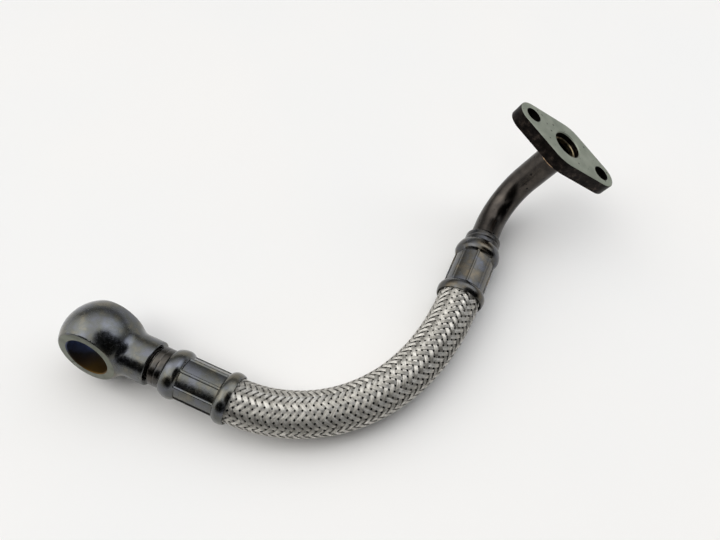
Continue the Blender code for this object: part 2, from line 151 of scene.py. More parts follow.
def axis_frame(origin: Vector, direction: Vector, side: Vector) -> Matrix:
    """Makes a frame with Z along a direction and X as near to the side as it can be.

    Args:
        origin: the frame's origin.
        direction: where Z points.
        side: where X points, as far as it can.

    Returns:
        The frame as a 4 x 4 matrix.
    """
    z_axis = direction.normalized()
    x_axis = (side - side.dot(z_axis) * z_axis).normalized()
    rotation = Matrix((x_axis, z_axis.cross(x_axis), z_axis)).transposed()
    return Matrix.Translation(origin) @ rotation.to_4x4()


def heading(angle: float, slope: float = 0.0) -> Vector:
    """The unit vector at this angle from +X in plan, rising by the slope."""
    level = math.cos(slope)
    return Vector((level * math.cos(angle), level * math.sin(angle), math.sin(slope)))


def arc(
    centre: tuple[float, float], radius: float, start: float, end: float, points: int = 12
) -> Profile:
    """Lists the points of a circular arc in a profile.

    Args:
        centre: its centre, as (radius, height).
        radius: its own radius.
        start: the angle of its first point from the radial direction.
        end: the angle of its last point.
        points: how many pieces it is cut into.

    Returns:
        The points from the first to the last.
    """
    turns = np.linspace(start, end, points + 1)
    return [(centre[0] + radius * math.cos(t), centre[1] + radius * math.sin(t)) for t in turns]


def crest_arc(crest: tuple[float, float], end: tuple[float, float]) -> Profile:
    """Lists the points of an arc that leaves its crest along the axis.

    Args:
        crest: the (radius, height) of its widest point, where it starts.
        end: where it ends, narrower and higher.

    Returns:
        The points from the crest to the end.
    """
    drop, run = crest[0] - end[0], end[1] - crest[1]
    radius = (drop * drop + run * run) / (2.0 * drop)
    return arc((crest[0] - radius, crest[1]), radius, 0.0, math.asin(run / radius))


def under_crest(crest: tuple[float, float], end: tuple[float, float]) -> Profile:
    """The same arc for an end that lies below the crest."""
    mirrored = crest_arc((crest[0], -crest[1]), (end[0], -end[1]))
    return [(radius, -height) for radius, height in mirrored]


def finely(profile: Profile, step: float) -> Profile:
    """Splits a profile's long stretches.

    Args:
        profile: (radius, height) points.
        step: the longest stretch that may stay.

    Returns:
        The profile with points added on its straight stretches.
    """
    found = [profile[0]]
    for begin, end in zip(profile, profile[1:]):
        parts = max(1, math.ceil(math.dist(begin, end) / step))
        for part in range(1, parts + 1):
            share = part / parts
            radius = begin[0] + (end[0] - begin[0]) * share
            found.append((radius, begin[1] + (end[1] - begin[1]) * share))
    return found


def bezier(handles: list[Vector], count: int) -> np.ndarray:
    """Points on a cubic Bezier curve.

    Args:
        handles: its four handles.
        count: how many points to give.

    Returns:
        The points, one row each.
    """
    t = np.linspace(0.0, 1.0, count)[:, None]
    weights = ((1 - t) ** 3, 3 * t * (1 - t) ** 2, 3 * t * t * (1 - t), t**3)
    return sum(weight * np.array(handle) for weight, handle in zip(weights, handles))


def unit(rows: np.ndarray) -> np.ndarray:
    """The same directions, each of length 1."""
    return rows / np.linalg.norm(rows, axis=1)[:, None]


def carried_frames(points: np.ndarray, side: Vector) -> tuple[np.ndarray, np.ndarray, np.ndarray]:
    """Carries a side direction along a line without turning it about the line.

    Args:
        points: the line's points.
        side: the direction that the first point's side starts from.

    Returns:
        The tangents, the sides and the third directions, one row for each point.
    """
    tangents = unit(np.gradient(points, axis=0))
    sides = np.zeros_like(points)
    last = np.array(side)
    for row, tangent in enumerate(tangents):
        last = last - last.dot(tangent) * tangent
        last /= np.linalg.norm(last)
        sides[row] = last
    return tangents, sides, np.cross(tangents, sides)


def ring_faces(count: int, steps: int, first: int = 0, wrap: bool = False) -> list[list[int]]:
    """Lists the faces that join each ring of points to the next.

    Args:
        count: how many rings there are.
        steps: how many points each ring has.
        first: the number of the first point.
        wrap: whether the last ring joins the first, instead of a cap on each.

    Returns:
        The point numbers of each face.
    """
    index = np.arange(first, first + count * steps).reshape(count, steps)
    below, above = (index, np.roll(index, -1, axis=0)) if wrap else (index[:-1], index[1:])
    corners = [below, np.roll(below, -1, axis=1), np.roll(above, -1, axis=1), above]
    faces = np.stack(corners, axis=-1).reshape(-1, 4).tolist()
    return faces if wrap else faces + [index[0][::-1].tolist(), index[-1].tolist()]


def skin(name: str, rings: np.ndarray, wrap: bool = False) -> Piece:
    """Makes an object whose skin joins one ring of points to the next.

    Args:
        name: the object's name.
        rings: the points, shaped (rings, points in a ring, 3).
        wrap: whether the last ring joins the first, instead of a cap on each.

    Returns:
        The new object, linked to the scene.
    """
    mesh = bpy.data.meshes.new(name)
    faces = ring_faces(*rings.shape[:2], wrap=wrap)
    mesh.from_pydata(rings.reshape(-1, 3).tolist(), [], faces)
    outward(mesh)
    return linked(name, mesh)


def outward(mesh: bpy.types.Mesh) -> None:
    """Turns all faces outwards.

    Args:
        mesh: a mesh of one or more closed skins.
    """
    shape = bmesh.new()
    shape.from_mesh(mesh)
    bmesh.ops.recalc_face_normals(shape, faces=shape.faces)
    shape.to_mesh(mesh)
    shape.free()


def linked(name: str, mesh: bpy.types.Mesh) -> Piece:
    """Makes an object and links it to the scene.

    Args:
        name: the object's name.
        mesh: its mesh.

    Returns:
        The new object.
    """
    obj = bpy.data.objects.new(name, mesh)
    bpy.context.scene.collection.objects.link(obj)
    return obj


def placed(rings: np.ndarray, place: Matrix) -> np.ndarray:
    """The same points moved from a piece's own frame to the part's."""
    turn = np.array(place.to_3x3())
    return rings @ turn.T + np.array(place.translation)


def turned(
    name: str,
    profile: Profile,
    place: Matrix,
    steps: int = 128,
    reach: Callable[[np.ndarray, np.ndarray, np.ndarray], np.ndarray] | None = None,
    wrap: bool = False,
) -> Piece:
    """Turns a profile about the frame's Z axis.

    Args:
        name: the object's name.
        profile: (radius, height) points.
        place: the frame that it is turned in.
        steps: how many points go round.
        reach: gives the radii from the plain radii, the heights and the angles.
        wrap: whether the profile closes on itself, as for a shell with a bore.

    Returns:
        The new object.
    """
    radii, heights = (np.array(values)[:, None] for values in zip(*profile))
    angles = np.linspace(0.0, math.tau, steps, endpoint=False)[None, :]
    full = np.repeat(radii, steps, axis=1)
    if reach is not None:
        full = reach(full, heights, angles)
    rings = np.stack(
        [full * np.cos(angles), full * np.sin(angles), np.repeat(heights, steps, axis=1)], axis=-1
    )
    return skin(name, placed(rings, place), wrap)


def flared_cutter(
    place: Matrix,
    radius: float,
    flare: float,
    faces: tuple[float, float],
    ends: tuple[float, float],
    steps: int,
) -> Piece:
    """Makes the cutter of a round hole that is flared at the two faces it goes through.

    Args:
        place: a frame with Z along the hole.
        radius: the hole's radius.
        flare: how deep each flare is.
        faces: the heights of the upper and the lower face.
        ends: the heights of the cutter's two ends, past the faces.
        steps: how many points go round.

    Returns:
        The cutter.
    """
    (top, bottom), (high, low) = faces, ends
    wide = radius + 2 * flare
    outline = [(AXIS_GAP, high), (wide, high), (wide, top + flare), (radius, top - flare)]
    outline += [(radius, bottom + flare), (wide, bottom - flare), (wide, low), (AXIS_GAP, low)]
    return turned("hole cutter", outline, place, steps)


def carved(body: Piece, cutters: list[Piece]) -> Piece:
    """Cuts the cutters out of a body for good and removes them.

    Args:
        body: the object to cut.
        cutters: the objects that are cut away.

    Returns:
        The body, with the cuts in its mesh.
    """
    for number, cutter in enumerate(cutters):
        cutter.name = f"cutter {number}"
        step = body.modifiers.new("Cut", "BOOLEAN")
        step.operation = "DIFFERENCE"
        step.solver = "EXACT"
        step.object = cutter
    bpy.context.view_layer.update()
    graph = bpy.context.evaluated_depsgraph_get()
    mesh = bpy.data.meshes.new_from_object(body.evaluated_get(graph))
    body.modifiers.clear()
    body.data = mesh
    for cutter in cutters:
        bpy.data.objects.remove(cutter)
    return body


def smoothed(obj: Piece, angle: float = 30.0) -> Piece:
    """Shades an object smooth, apart from its sharp edges.

    Args:
        obj: the object.
        angle: the angle in degrees from which an edge is sharp.

    Returns:
        The same object.
    """
    obj.data.polygons.foreach_set("use_smooth", [True] * len(obj.data.polygons))
    obj.data.set_sharp_from_angle(angle=math.radians(angle))
    return obj


def grey(value: float) -> str:
    """The hex colour whose linear value is this share of white, for a ramp that drives a number."""
    coded = 12.92 * value if value <= 0.0031308 else 1.055 * value ** (1 / 2.4) - 0.055
    return "#" + f"{round(255 * min(max(coded, 0.0), 1.0)):02x}" * 3


def oxide(blue: str, dark: str, brown: str) -> Stops:
    """The colours of a black oxide, from its thin blue parts to its thick brown ones."""
    return ((0.34, blue), (0.52, dark), (0.68, brown))


class Relief(NamedTuple):
    """How strong a bump is, and its depth in millimetres."""

    strength: float
    depth_mm: float

    def over(self, height: Socket) -> Inputs:
        """The inputs of the bump node that raises this height."""
        return {"Height": height, "Strength": self.strength, "Distance": self.depth_mm * MM}


class Ground(NamedTuple):
    """What a finish's own nodes start from: its tree, the place on the object and the patches."""

    tree: Tree
    place: Socket
    patches: Socket


@dataclass(frozen=True)
class Finish:
    """Metal with soft patches of colour, which every finish below starts from.

    The patches come from one noise as coarse as the real ones. A finish that has more to show,
    such as rings, pits or a grain, adds it in course or in detail.
    """

    name: str = "mild steel"
    colours: Stops = ((0.35, "#6d675f"), (0.65, "#98928a"))
    patch_mm: float = 3.0
    patch_detail: float = 3.0
    patch_roughness: float = 0.5
    metallic: float = 1.0
    roughness: float = 0.5
    relief: Relief | None = None

    def course(self, ground: Ground) -> Socket:
        """The value that the colours follow."""
        return ground.patches

    def detail(self, ground: Ground, tint: Socket) -> Inputs:
        """Gives the shader's inputs beyond the plain ones, here a relief that follows the patches.

        Args:
            ground: what the nodes start from.
            tint: the patches' colour.

        Returns:
            The inputs, by name.
        """
        if self.relief is None:
            return {}
        bump = add_node(ground.tree, "ShaderNodeBump", self.relief.over(ground.patches))
        return {"Normal": bump.outputs["Normal"]}

    def material(self) -> bpy.types.Material:
        """Builds the material.

        Returns:
            The material, with its node tree.
        """
        material = bpy.data.materials.new(self.name)
        material.use_nodes = True
        tree = material.node_tree
        tree.nodes.clear()
        place = add_node(tree, "ShaderNodeTexCoord").outputs["Object"]
        patches = add_node(
            tree,
            "ShaderNodeTexNoise",
            {
                "Vector": place,
                "Scale": per_mm(self.patch_mm),
                "Detail": self.patch_detail,
                "Roughness": self.patch_roughness,
            },
        )
        ground = Ground(tree, place, patches.outputs["Fac"])
        ramp = add_node(
            tree, "ShaderNodeValToRGB", {"Fac": self.course(ground)}, stops=self.colours
        )
        tint = ramp.outputs["Color"]
        inputs = {"Base Color": tint, "Metallic": self.metallic, "Roughness": self.roughness}
        inputs |= self.detail(ground, tint)
        shader = add_node(tree, "ShaderNodeBsdfPrincipled", inputs)
        add_node(tree, "ShaderNodeOutputMaterial", {"Surface": shader.outputs[0]})
        return material


@dataclass(frozen=True)
class BlackOxideSteel(Finish):
    """Steel blackened in a hot oxide bath and oiled, as on the eye's ball and the ferrules.

    The oxide gives a dark gunmetal grey that mirrors the light softly, a little browner where it
    is thick and bluer where it is thin, under a thin film of oil.
    """

    name: str = "black oxide steel"
    colours: Stops = oxide("#5b5d63", "#565754", "#686459")
    patch_mm: float = 5.0
    patch_roughness: float = 0.55
    grain_mm: float = 0.9
    grain: Relief = Relief(0.5, 0.05)
    smooth: float = 0.14
    dull: float = 0.30
    oil: float = 0.15
    oil_roughness: float = 0.18

    def detail(self, ground: Ground, tint: Socket) -> Inputs:
        """Adds the grain, which also dulls the gloss in spots, and the film of oil.

        Args:
            ground: what the nodes start from.
            tint: the patches' colour.

        Returns:
            The inputs, by name.
        """
        grain = add_node(
            ground.tree,
            "ShaderNodeTexNoise",
            {
                "Vector": ground.place,
                "Scale": per_mm(self.grain_mm),
                "Detail": 4.0,
                "Roughness": 0.6,
            },
        ).outputs["Fac"]
        stops = ((0.3, grey(self.smooth)), (0.7, grey(self.dull)))
        gloss = add_node(ground.tree, "ShaderNodeValToRGB", {"Fac": grain}, stops=stops)
        bump = add_node(ground.tree, "ShaderNodeBump", self.grain.over(grain))
        return {
            "Roughness": gloss.outputs["Color"],
            "Normal": bump.outputs["Normal"],
            "Coat Weight": self.oil,
            "Coat Roughness": self.oil_roughness,
        }


@dataclass(frozen=True, kw_only=True)
class FacedSteel(Finish):
    """Blackened steel that was turned flat first, as on the eye's two sealing faces.

    The tool leaves fine rings round the bore, so the face is a satin grey, paler than the ball.
    """

    centre: Triple
    axis: Triple
    name: str = "turned and blackened steel"
    colours: Stops = ((0.35, "#5c5f55"), (0.65, "#76796d"))
    patch_mm: float = 5.0
    roughness: float = 0.42
    ring_mm: float = 0.45
    rings: Relief = Relief(0.4, 0.02)

    def detail(self, ground: Ground, tint: Socket) -> Inputs:
        """Adds the tool's rings.

        Args:
            ground: what the nodes start from.
            tint: the patches' colour.

        Returns:
            The inputs, by name.
        """
        radius = ground.place
        for operation, other in (("SUBTRACT", self.centre), ("CROSS_PRODUCT", self.axis)):
            radius = add_node(
                ground.tree, "ShaderNodeVectorMath", {0: radius, 1: other}, operation=operation
            ).outputs["Vector"]
        radius = add_node(
            ground.tree, "ShaderNodeVectorMath", {0: radius}, operation="LENGTH"
        ).outputs["Value"]
        rings = add_node(
            ground.tree,
            "ShaderNodeTexNoise",
            {"W": radius, "Scale": per_mm(self.ring_mm), "Detail": 2.0},
            noise_dimensions="1D",
        )
        bump = add_node(ground.tree, "ShaderNodeBump", self.rings.over(rings.outputs["Fac"]))
        return {"Normal": bump.outputs["Normal"]}


@dataclass(frozen=True, kw_only=True)
class TemperedBore(Finish):
    """The bored inside of the eye, where thin oxide over a bright bore shows temper colours.

    The end that heated last is violet blue and the other is amber, with brown steel between.
    """

    centre: Triple
    name: str = "temper-coloured bore steel"
    colours: Stops = ((0.15, "#7088c4"), (0.5, "#3d3b3c"), (0.8, "#5e4722"))
    patch_mm: float = 5.0
    violet_to_amber: Triple = (0.75, -0.66, 0.0)
    reach_mm: float = 8.0
    wander_mm: float = 4.0

    def course(self, ground: Ground) -> Socket:
        """Lets the colours run along the bore, with an edge that wanders.

        Args:
            ground: what the nodes start from.

        Returns:
            The share of the way from violet to amber.
        """
        along = ground.place
        for operation, other, output in (
            ("SUBTRACT", self.centre, "Vector"),
            ("DOT_PRODUCT", self.violet_to_amber, "Value"),
        ):
            along = add_node(
                ground.tree, "ShaderNodeVectorMath", {0: along, 1: other}, operation=operation
            ).outputs[output]
        wander = add_node(
            ground.tree,
            "ShaderNodeMath",
            {0: ground.patches, 1: self.wander_mm * MM, 2: along},
            operation="MULTIPLY_ADD",
        )
        middle, reach = self.wander_mm / 2 * MM, self.reach_mm * MM
        share = add_node(
            ground.tree,
            "ShaderNodeMapRange",
            {"Value": wander.outputs[0], "From Min": middle - reach, "From Max": middle + reach},
        )
        return share.outputs["Result"]


@dataclass(frozen=True)
class SpeckedSteel(Finish):
    """Steel with small dark specks over a fine grain, which the next two finishes start from."""

    patch_detail: float = 5.0
    patch_roughness: float = 0.6
    speck: str = "#080808"
    speck_mm: float = 3.0
    speck_core: float = 0.5
    speck_edge: float = 0.17
    grain_mm: float = 0.5
    grain: Relief = Relief(0.4, 0.04)
    dent: Relief | None = None

    def detail(self, ground: Ground, tint: Socket) -> Inputs:
        """Adds the specks, sunk where they are dents, and the grain.

        Args:
            ground: what the nodes start from.
            tint: the patches' colour.

        Returns:
            The inputs, by name.
        """
        tree, place = ground.tree, ground.place
        specks = add_node(
            tree, "ShaderNodeTexVoronoi", {"Vector": place, "Scale": per_mm(self.speck_mm)}
        )
        stops = ((self.speck_edge * self.speck_core, "#000000"), (self.speck_edge, "#ffffff"))
        mask = add_node(
            tree, "ShaderNodeValToRGB", {"Fac": specks.outputs["Distance"]}, stops=stops
        ).outputs["Color"]
        coloured = add_node(
            tree,
            "ShaderNodeMix",
            {"Factor": mask, 6: linear(self.speck), 7: tint},
            data_type="RGBA",
        )
        grain = add_node(
            tree,
            "ShaderNodeTexNoise",
            {"Vector": place, "Scale": per_mm(self.grain_mm), "Detail": 3.0},
        )
        bump = add_node(tree, "ShaderNodeBump", self.grain.over(grain.outputs["Fac"]))
        if self.dent is not None:
            inputs = self.dent.over(mask) | {"Normal": bump.outputs["Normal"]}
            bump = add_node(tree, "ShaderNodeBump", inputs)
        return {"Base Color": coloured.outputs[2], "Normal": bump.outputs["Normal"]}


@dataclass(frozen=True)
class DarkDrawnTube(SpeckedSteel):
    """Drawn steel tube with a dark heat oxide from its brazing.

    It is a warm brown grey with a clear sheen, a faint grain and a few small black pits.
    """

    name: str = "dark oxide drawn tube"
    colours: Stops = ((0.32, "#33302e"), (0.66, "#4a4540"))
    patch_mm: float = 4.0
    roughness: float = 0.24
    speck_mm: float = 2.7
    speck_core: float = 0.7
    grain_mm: float = 0.6
    grain: Relief = Relief(0.3, 0.03)
    dent: Relief | None = Relief(0.8, 0.15)


@dataclass(frozen=True)
class GroundSteel(SpeckedSteel):
    """The flange's face, ground flat.

    It scatters light to an even matt sage grey, with a few dark specks of the casting skin.
    """

    name: str = "ground steel"
    colours: Stops = ((0.3, "#7e8376"), (0.7, "#969a8c"))
    patch_mm: float = 6.0
    roughness: float = 0.55
    speck: str = "#45463d"
    speck_mm: float = 3.6
    speck_core: float = 0.4
    grain_mm: float = 0.4


@dataclass(frozen=True)
class CastSkin(Finish):
    """The flange's rough sides, with their scale still on.

    They are mottled brown black, with lighter brown grey where the scale has worn through.
    """

    name: str = "scaled steel"
    colours: Stops = ((0.38, "#121110"), (0.54, "#221e1c"), (0.72, "#463e38"))
    patch_mm: float = 2.4
    patch_detail: float = 6.0
    patch_roughness: float = 0.65
    roughness: float = 0.45
    relief: Relief | None = Relief(0.6, 0.12)


@dataclass(frozen=True)
class ShadedBoltHole(Finish):
    """The drilled walls of the bolt holes, painted nearly black as painted shade inside the holes.
    """

    name: str = "drilled steel with painted shade"
    colours: Stops = ((0.35, "#0b0a0a"), (0.65, "#1b1917"))
    patch_mm: float = 1.5


@dataclass(frozen=True)
class StainlessWire(Finish):
    """Drawn stainless steel wire, braided bright.

    Each wire is a fine warm silver line, so that a strand sparkles along its length, and the
    wires of a strand differ a little.
    """

    name: str = "stainless braiding wire"
    colours: Stops = ((0.3, "#a19e97"), (0.8, "#d3d0c9"))
    patch_mm: float = 1.6
    roughness: float = 0.31

    def course(self, ground: Ground) -> Socket:
        """Adds each wire's own shade to the patches.

        Args:
            ground: what the nodes start from.

        Returns:
            The value that the colours follow.
        """
        shade = add_node(ground.tree, "ShaderNodeAttribute", attribute_name=WIRE_SHADE)
        terms = {0: shade.outputs["Fac"], 1: ground.patches}
        return add_node(ground.tree, "ShaderNodeMath", terms, operation="ADD").outputs[0]


@dataclass(frozen=True)
class BrassBraze(Finish):
    """Brass filler metal that was melted into the flange's joint.

    It is a pale peach gold, dulled by flux, with a soft uneven surface.
    """

    name: str = "brass braze"
    colours: Stops = ((0.36, "#7d6a56"), (0.6, "#d8b48e"))
    patch_mm: float = 2.2
    patch_detail: float = 4.0
    roughness: float = 0.36
    relief: Relief | None = Relief(0.6, 0.15)


@dataclass(frozen=True)
class BrightTubeEnd(Finish):
    """The tube's cut end and the mouth of its bore, wetted by the braze: a patchy cream gold."""

    name: str = "brazed tube end"
    colours: Stops = ((0.34, "#4e4230"), (0.58, "#bfb08c"))
    roughness: float = 0.3


@dataclass(frozen=True)
class HoseRubber(Finish):
    """Extruded oil-proof rubber. It is matt black, with the fine grain of the extruder's die."""

    name: str = "extruded nitrile rubber"
    colours: Stops = ((0.3, "#0c0c0d"), (0.7, "#1a1a1b"))
    patch_mm: float = 0.8
    metallic: float = 0.0
    roughness: float = 0.7
    relief: Relief | None = Relief(0.3, 0.05)
    ior: float = 1.52

    def detail(self, ground: Ground, tint: Socket) -> Inputs:
        """The grain's relief, and rubber's IOR."""
        return super().detail(ground, tint) | {"IOR": self.ior}


@dataclass(frozen=True)
class TurnedSteel(Finish):
    """Bright mild steel from the lathe, as on the hose tails.

    A mid grey with a faint grain, oiled and a little browned.
    """

    name: str = "turned mild steel"
    patch_mm: float = 2.5
    patch_detail: float = 4.0
    roughness: float = 0.36
    relief: Relief | None = Relief(0.25, 0.03)


@dataclass(frozen=True)
class PaleTable(Finish):
    """A matt white laminate table top. Plain and even, so that it only carries the shadows."""

    name: str = "white laminate"
    colours: Stops = ((0.35, "#eeedeb"), (0.65, "#f0eeeb"))
    patch_mm: float = 120.0
    patch_detail: float = 2.0
    metallic: float = 0.0
    roughness: float = 0.6
    specular: float = 0.3

    def detail(self, ground: Ground, tint: Socket) -> Inputs:
        """The laminate's faint mirroring."""
        return {"Specular IOR Level": self.specular}


@dataclass
class BanjoEye:
    """The forged eye: a ball with two faces, the bolt's bore, a blended neck and the drilling."""

    ball_radius: float = 14.3 * MM
    width: float = 17.7 * MM
    bore_radius: float = 8.05 * MM
    tilt: float = math.radians(20.2)
    neck_radius: float = 8.2 * MM
    neck_fillet: float = 5.0 * MM
    neck_end: float = 21.2 * MM
    neck_edge_round: float = 0.5 * MM
    drilling_radius: float = 2.8 * MM
    socket_radius: float = 4.75 * MM
    socket_depth: float = 6.5 * MM
    ball_last: float = math.radians(88.5)
    mouth_break: float = 0.3 * MM
    face_break: float = 0.25 * MM
    steps: int = 160

    def profile(self) -> Profile:
        """Works out the turned outline.

        Returns:
            (radius, height) points from the neck's end to the ball's far side.
        """
        reach = self.ball_radius + self.neck_fillet
        out = self.neck_radius + self.neck_fillet
        along = math.sqrt(reach * reach - out * out)
        meet = math.atan2(along, out)
        edge = self.neck_edge_round
        corner = (self.neck_radius - edge, self.neck_end - edge)
        outline = arc(corner, edge, math.pi / 2, 0.0, 6)
        outline += finely([outline[-1], (self.neck_radius, along)], 1.0 * MM)[1:-1]
        outline += arc((out, along), self.neck_fillet, -math.pi, meet - math.pi, 16)
        outline += arc((0.0, 0.0), self.ball_radius, meet, -self.ball_last, 64)[1:]
        return outline

    def face_cutter(self, place: Matrix, side: int) -> Piece:
        """Makes the cutter that faces one side and breaks the edge between face and ball.

        Args:
            place: the eye's frame.
            side: 1 for the front face and -1 for the back one.

        Returns:
            The cutter.
        """
        half = self.width / 2
        ring = math.sqrt(self.ball_radius**2 - half**2)
        outer = 2 * self.ball_radius
        outline = [
            (AXIS_GAP, outer),
            (outer, outer),
            (outer, half - 6 * self.face_break),
            (ring + self.face_break, half - self.face_break),
            (ring - 0.4 * self.face_break, half - 0.25 * self.face_break),
            (ring - self.face_break, half),
            (AXIS_GAP, half),
        ]
        turn = Matrix.Rotation(side * math.pi / 2, 4, "Y")
        return turned("face cutter", outline, place @ turn, self.steps)

    def bore_cutter(self, place: Matrix) -> Piece:
        """Makes the cutter for the bolt's bore, flared a little at both mouths.

        Args:
            place: the eye's frame.

        Returns:
            The cutter.
        """
        half, outer = self.width / 2, self.ball_radius * 1.2
        turn = Matrix.Rotation(math.pi / 2, 4, "Y")
        size, faces, ends = (self.bore_radius, self.mouth_break), (half, -half), (outer, -outer)
        return flared_cutter(place @ turn, *size, faces, ends, self.steps)

    def drilling_cutter(self, place: Matrix) -> Piece:
        """Makes the cutter for the oil drilling and the tail's socket.

        Args:
            place: the eye's frame.

        Returns:
            The cutter.
        """
        floor = self.neck_end - self.socket_depth
        outline = [
            (AXIS_GAP, self.neck_end + 1.0 * MM),
            (self.socket_radius, self.neck_end + 1.0 * MM),
            (self.socket_radius, floor),
            (self.drilling_radius, floor),
            (self.drilling_radius, self.bore_radius / 2),
            (AXIS_GAP, self.bore_radius / 2),
        ]
        return turned("drilling cutter", outline, place, 64)

    def build(self, place: Matrix) -> Piece:
        """Makes the eye.

        Args:
            place: the eye's frame, with X along the bore and Z along the neck.

        Returns:
            The eye.
        """
        body = turned("banjo_eye_forging", self.profile(), place, self.steps)
        cutters = [self.face_cutter(place, 1), self.face_cutter(place, -1)]
        cutters += [self.bore_cutter(place), self.drilling_cutter(place)]
        return smoothed(carved(body, cutters), 25.0)

    def dress(self, eye: Piece, place: Matrix) -> None:
        """Gives the ball, the two faces and the bore their finishes.

        Args:
            eye: the built eye.
            place: the eye's frame.
        """
        centre, axis = place.translation, place.to_3x3().col[0]
        eye.data.materials.clear()
        for finish in (
            BlackOxideSteel(),
            FacedSteel(centre=tuple(centre), axis=tuple(axis)),
            TemperedBore(centre=tuple(centre)),
        ):
            eye.data.materials.append(finish.material())
        to_local = place.inverted()
        turn = to_local.to_3x3()
        for face in eye.data.polygons:
            spot, facing = to_local @ face.center, turn @ face.normal
            out = math.hypot(spot.y, spot.z)
            faced = abs(facing.x) > 0.97 and abs(spot.x) > self.width / 2 - 0.2 * MM
            bored = out < self.bore_radius + 0.5 * MM and abs(facing.x) < 0.9
            face.material_index = 1 if faced else 2 * int(bored)
        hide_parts("banjo_eye")


@dataclass
class CrimpedFerrule:
    """A ferrule: bell lip, eight jaw marks with ridges between them, bead and collar."""

    end: HoseEnd = HoseEnd.BANJO
    length: float = 30.4 * MM
    lip_radius: float = 9.4 * MM
    lip_crest: float = 2.1 * MM
    lip_edge_drop: float = 0.45 * MM
    crimp_start: float = 5.0 * MM
    crimp_end: float = 19.4 * MM
    crimp_radius: float = 7.6 * MM
    crimp_wall: float = 1.0 * MM
    jaw_count: int = 8
    jaw_flat: float = 7.3 * MM
    flatness: float = 0.5
    flat_fade: float = 0.9 * MM
    ridge_width: float = 1.1 * MM
    ridge_height: float = 0.5 * MM
    ridge_sink: float = 0.4 * MM
    ridge_blend: float = 0.08 * MM
    bead_radius: float = 9.0 * MM
    bead_crest: float = 21.8 * MM
    bead_end: float = 25.2 * MM
    collar_radius: float = 7.15 * MM
    collar_start: float = 26.0 * MM
    collar_wall: float = 1.2 * MM
    collar_edge_round: float = 0.5 * MM
    collar_line: float = 28.0 * MM
    line_depth: float = 0.07 * MM
    line_width: float = 0.28 * MM
    mouth_radius: float = 8.45 * MM
    bore_step: float = 21.3 * MM
    steps: int = 320

    @property
    def clock(self) -> float:
        """How far the jaw marks are turned from straight up, in radians."""
        return math.radians({HoseEnd.BANJO: 2.0, HoseEnd.TUBE: 0.0}[self.end])

    def profile(self) -> Profile:
        """Works out the shell's closed outline.

        Returns:
            (radius, height) points down the outside to the lip and back up the bore.
        """
        edge = self.collar_edge_round
        crest, bead = (self.lip_radius, self.lip_crest), (self.bead_radius, self.bead_crest)
        waist = ((self.bead_radius + self.collar_radius) / 2, self.bead_end)
        collar = (self.collar_radius - edge, self.length - edge)
        outline = arc(collar, edge, math.pi / 2, 0.0, 6)
        half = self.line_width / 2
        for offset, depth in ((half, 0.0), (0.0, self.line_depth), (-half, 0.0)):
            outline.append((self.collar_radius - depth, self.collar_line + offset))
        outline.append((self.collar_radius, self.collar_start))
        outline += crest_arc(bead, waist)[::-1]
        outline += under_crest(bead, (self.crimp_radius, self.crimp_end))[1:]
        outline += crest_arc(crest, (self.crimp_radius, self.crimp_start))[::-1]
        outline += under_crest(crest, (self.lip_radius - self.lip_edge_drop, 0.0))[1:]
        bore = self.crimp_radius - self.crimp_wall
        throat = self.collar_radius - self.collar_wall
        outline += [(self.mouth_radius + 0.15 * MM, 0.0), (self.mouth_radius, 0.15 * MM)]
        outline += [(self.mouth_radius, self.lip_crest), (bore, self.crimp_start)]
        outline += [(bore, self.bore_step), (throat, self.bore_step), (throat, self.length)]
        return finely(outline, 0.8 * MM)

    def ridged(self, radii: np.ndarray, heights: np.ndarray, angles: np.ndarray) -> np.ndarray:
        """Presses the crimping jaws' flats and raises the ridges that stand between them.

        Args:
            radii: the plain radii.
            heights: the heights above the lip.
            angles: the angles round the ferrule.

        Returns:
            The radii with the flats and the ridges on the outside.
        """
        jaw = math.tau / self.jaw_count
        offset = (angles - self.clock + jaw / 2) % jaw - jaw / 2
        outside = radii > self.crimp_radius - 0.01 * MM
        marked = (heights > self.lip_crest) & (heights < self.bead_crest) & outside
        flat = self.jaw_flat / np.cos(jaw / 2 - np.abs(offset))
        rise = (radii - self.crimp_radius) / self.flat_fade
        level = self.flatness * np.clip(1.0 - rise, 0.0, 1.0)
        radii = np.where(marked, radii + level * (flat - self.crimp_radius), radii)
        aside = np.abs(offset) * self.crimp_radius
        half = self.ridge_width / 2
        share = np.clip((1.25 * half - aside) / (0.85 * half), 0.0, 1.0)
        lift = share * share * (3 - 2 * share)
        base = self.crimp_radius - self.ridge_sink
        ridge = base + (self.ridge_sink + self.ridge_height) * lift
        raised = (radii + ridge + np.sqrt((radii - ridge) ** 2 + self.ridge_blend**2)) / 2
        return np.where(marked, raised, radii)

    def build(self, place: Matrix) -> Piece:
        """Makes the ferrule.

        Args:
            place: the frame at its lip, with Z away from the hose.

        Returns:
            The ferrule.
        """
        name = self.end.value + "_crimped_shell"
        shell = turned(name, self.profile(), place, self.steps, self.ridged, wrap=True)
        return smoothed(shell, 40.0)

    def dress(self, shell: Piece, place: Matrix) -> None:
        """Gives the ferrule its finish, and its collar a darker one.

        Args:
            shell: the built ferrule.
            place: the frame at its lip.
        """
        plain = BlackOxideSteel(self.end.value + " ferrule black oxide")
        if self.end is HoseEnd.TUBE:
            # The brazing heat of the tube browned this one
            plain = replace(plain, colours=oxide("#52545a", "#4c4a45", "#5f574a"))
        # The collar gets a darker oxide than the rest of the ferrule
        collar_name = self.end.value + " collar darker oxide"
        darker_collar = BlackOxideSteel(collar_name, oxide("#414245", "#3e3c39", "#4b4742"))
        shell.data.materials.append(plain.material())
        shell.data.materials.append(darker_collar.material())
        to_local = place.inverted()
        for face in shell.data.polygons:
            face.material_index = int((to_local @ face.center).z > self.bead_end)
        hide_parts(self.end.value + "_ferrule")


